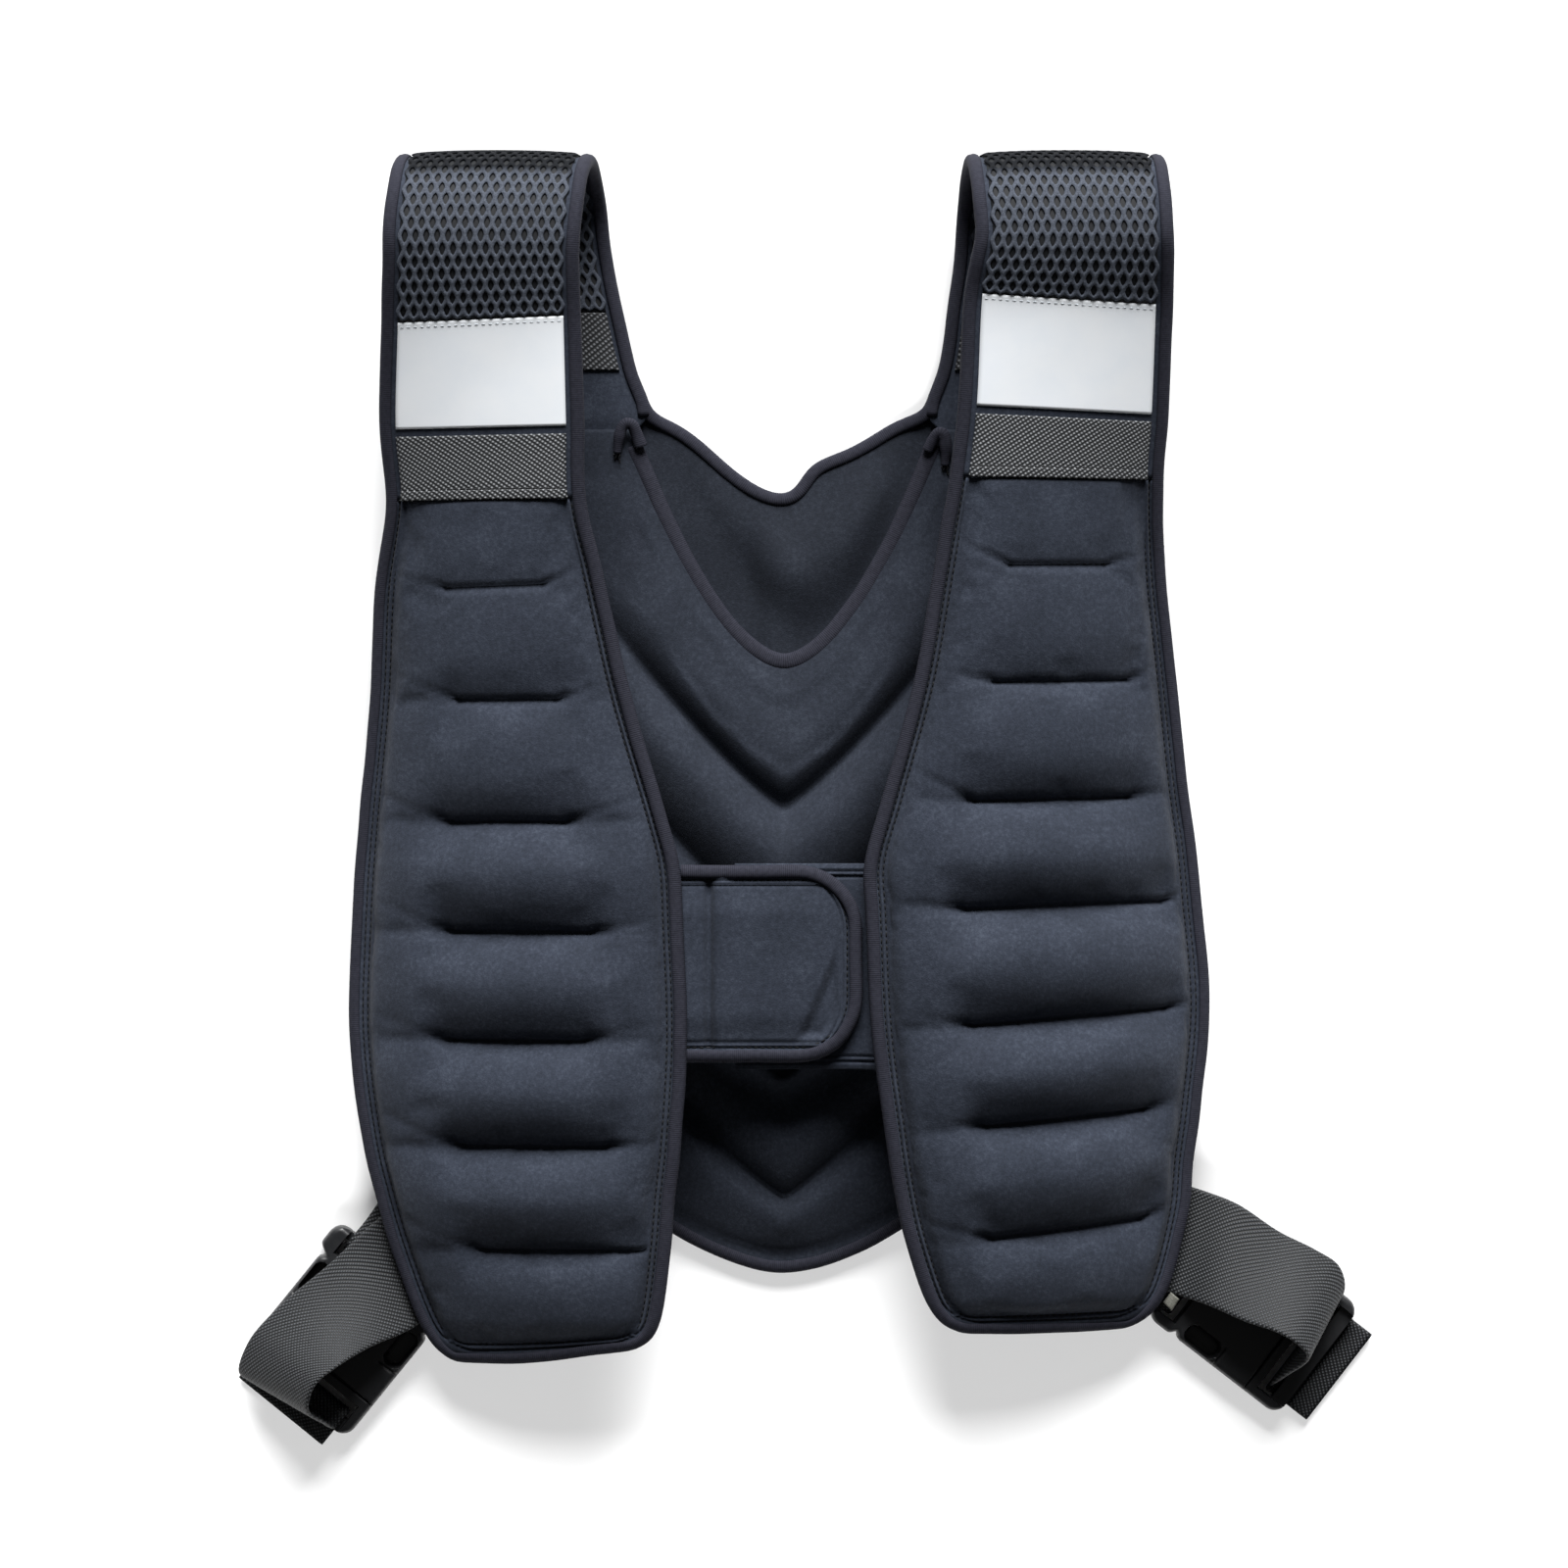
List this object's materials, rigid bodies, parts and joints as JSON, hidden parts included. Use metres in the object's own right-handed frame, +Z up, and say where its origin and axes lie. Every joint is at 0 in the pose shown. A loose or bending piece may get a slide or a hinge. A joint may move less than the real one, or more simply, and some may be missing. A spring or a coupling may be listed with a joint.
{
  "type": "weighted vest",
  "caption": "Padded neoprene weight vest lying flat: quilted fronts and back, mesh shoulder straps, chest flap and buckled side webbing.",
  "frame": {"origin": "centre of the vest's footprint, on the surface that its back lies on", "axes": "+Z up out of the chest, +Y from hem to shoulders, +X to the side that the chest flap closes on"},
  "size_m": [0.5166, 0.5838, 0.0841],
  "materials": {
    "neoprene": "dull knit-faced neoprene",
    "air_mesh": "open spacer mesh",
    "reflective": "smooth grey-white reflective film",
    "weave": "coarse woven band",
    "binding": "folded knit tape",
    "webbing": "flat woven webbing",
    "buckle": "satin moulded plastic"
  },
  "bodies": {
    "root": {"front_panel_left": "neoprene", "front_panel_right": "neoprene", "shoulder_strap_left": "neoprene", "shoulder_strap_right": "neoprene", "back_shell": "neoprene", "back_panel": "neoprene", "chest_tab": "neoprene", "chest_base": "neoprene", "shoulder_mesh_left": "air_mesh", "shoulder_mesh_right": "air_mesh", "lining_mesh_left": "air_mesh", "lining_mesh_right": "air_mesh", "reflective_strip_left": "reflective", "reflective_strip_right": "reflective", "weave_band_left": "weave", "weave_band_right": "weave", "back_weave_band_left": "weave", "back_weave_band_right": "weave", "edge_binding_left": "binding", "edge_binding_right": "binding", "back_binding": "binding", "neck_binding": "binding", "pocket_binding": "binding", "tab_binding": "binding", "side_webbing_left": "webbing", "side_webbing_right": "webbing", "back_webbing_left": "webbing", "back_webbing_right": "webbing", "buckle_female_left": "buckle", "buckle_female_right": "buckle", "buckle_male_left": "buckle", "buckle_male_right": "buckle"}
  },
  "joints": []
}
